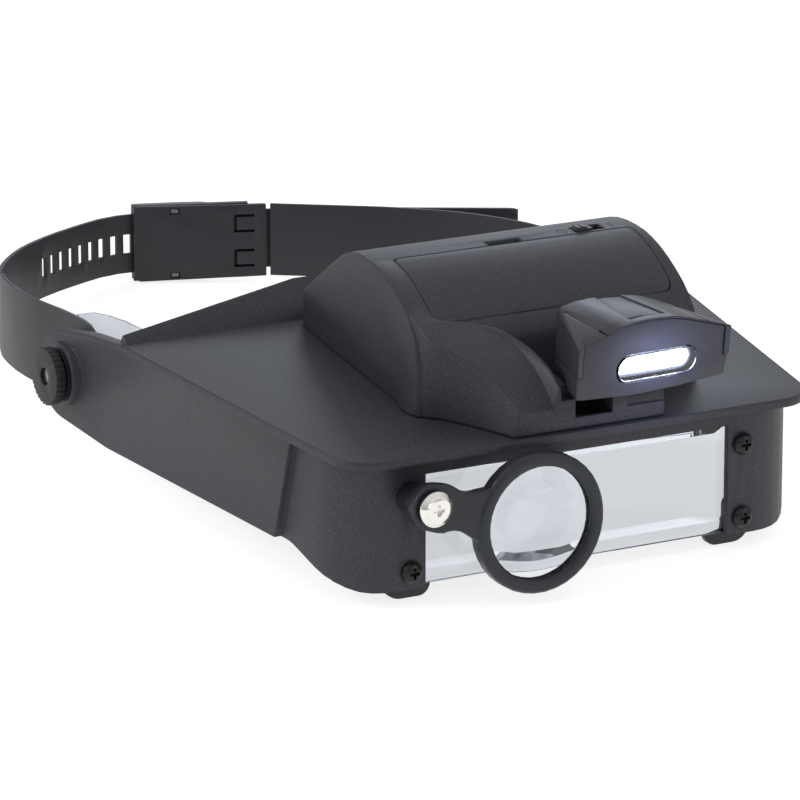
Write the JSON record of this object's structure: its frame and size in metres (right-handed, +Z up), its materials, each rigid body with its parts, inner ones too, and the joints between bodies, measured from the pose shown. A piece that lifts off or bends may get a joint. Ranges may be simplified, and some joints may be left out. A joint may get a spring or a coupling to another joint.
{
  "type": "head visor magnifier",
  "caption": "Hinged head-worn visor with a rectangular lens window, swing-in loupe, tilting lamp, battery housing and adjustable headband.",
  "frame": {"origin": "bottom centre of the bounding box, on the surface that the object stands on", "axes": "the lens window looks towards -Y, the headband is towards +Y, the wearer's right is -X, +Z is up"},
  "size_m": [0.215, 0.2924, 0.0842],
  "materials": {
    "moulded": "fine-grained charcoal moulding",
    "moulded_light": "satin grey moulding",
    "black_plastic": "smooth black",
    "knob": "knurled black",
    "strap": "smooth flexible strap",
    "nickel": "polished nickel plate",
    "steel": "zinc-plated steel",
    "black_steel": "black oxide, oiled",
    "clear": "clear acrylic",
    "vinyl": "clear soft vinyl",
    "led": "water-clear epoxy",
    "reflector": "white bright moulding",
    "board": "green circuit board",
    "cell": "plain sleeved cell"
  },
  "bodies": {
    "visor": {"visor_shell": "moulded", "battery_housing": "moulded", "battery_1": "cell", "battery_2": "cell", "battery_3": "cell", "battery_tray": "black_plastic", "contact_plate_left": "nickel", "contact_plate_right": "nickel", "switch_body": "black_plastic", "lens_plate": "clear", "lens_retainer_left": "black_plastic", "lens_retainer_right": "black_plastic", "screw_lower_left": "black_steel", "screw_lower_right": "black_steel", "screw_upper_right": "black_steel", "nut_lower_left": "steel", "nut_lower_right": "steel", "nut_upper_left": "steel", "nut_upper_right": "steel", "loupe_boss": "black_plastic", "loupe_screw": "nickel", "pivot_washer_left": "steel", "pivot_washer_right": "steel", "pivot_bolt_left": "steel", "pivot_bolt_right": "steel"},
    "lamp": {"lamp_lower_shell": "moulded", "lamp_upper_shell": "moulded", "lamp_hinge_pin": "steel", "lamp_window": "clear", "lamp_reflector": "reflector", "led_board": "board", "led_1": "led", "led_2": "led", "led_3": "led", "led_4": "led"},
    "loupe": {"loupe_frame": "black_plastic", "loupe_lens": "clear", "loupe_washer": "steel"},
    "headband": {"left_strap": "strap", "right_strap": "strap", "buckle_plate": "strap", "buckle_clip": "moulded_light", "forehead_band": "vinyl"},
    "door": {"battery_door": "moulded"},
    "slider": {"switch_slider": "black_plastic"},
    "knob_left": {"knob_left": "knob"},
    "knob_right": {"knob_right": "knob"}
  },
  "joints": [
    {"name": "headband_tilt", "type": "hinge", "parent": "visor", "child": "headband", "pos_m": [0, 0.0123, 0.02595], "axis": [1, 0, 0], "range_deg": [-60, 12]},
    {"name": "lamp_tilt", "type": "hinge", "parent": "visor", "child": "lamp", "pos_m": [0.0176, -0.11843, 0.06125], "axis": [0.9986, 0.052, -0.0062], "range_deg": [-24, 2]},
    {"name": "loupe_swing", "type": "hinge", "parent": "visor", "child": "loupe", "pos_m": [-0.0575, -0.12883, 0.03328], "axis": [0, -0.9929, 0.1189], "range_deg": [-165, 22]},
    {"name": "switch_slide", "type": "slide", "parent": "visor", "child": "slider", "axis": [1, 0, 0], "range_m": [0, 0.0036]},
    {"name": "battery_door_hinge", "type": "hinge", "parent": "visor", "child": "door", "pos_m": [0, -0.09558, 0.07291], "axis": [1, 0, 0], "range_deg": [0, 75]},
    {"name": "knob_left_turn", "type": "hinge", "parent": "visor", "child": "knob_left", "pos_m": [-0.105, 0.0123, 0.02595], "axis": [-1, 0, 0], "continuous": true},
    {"name": "knob_right_turn", "type": "hinge", "parent": "visor", "child": "knob_right", "pos_m": [0.105, 0.0123, 0.02595], "axis": [1, 0, 0], "continuous": true}
  ]
}
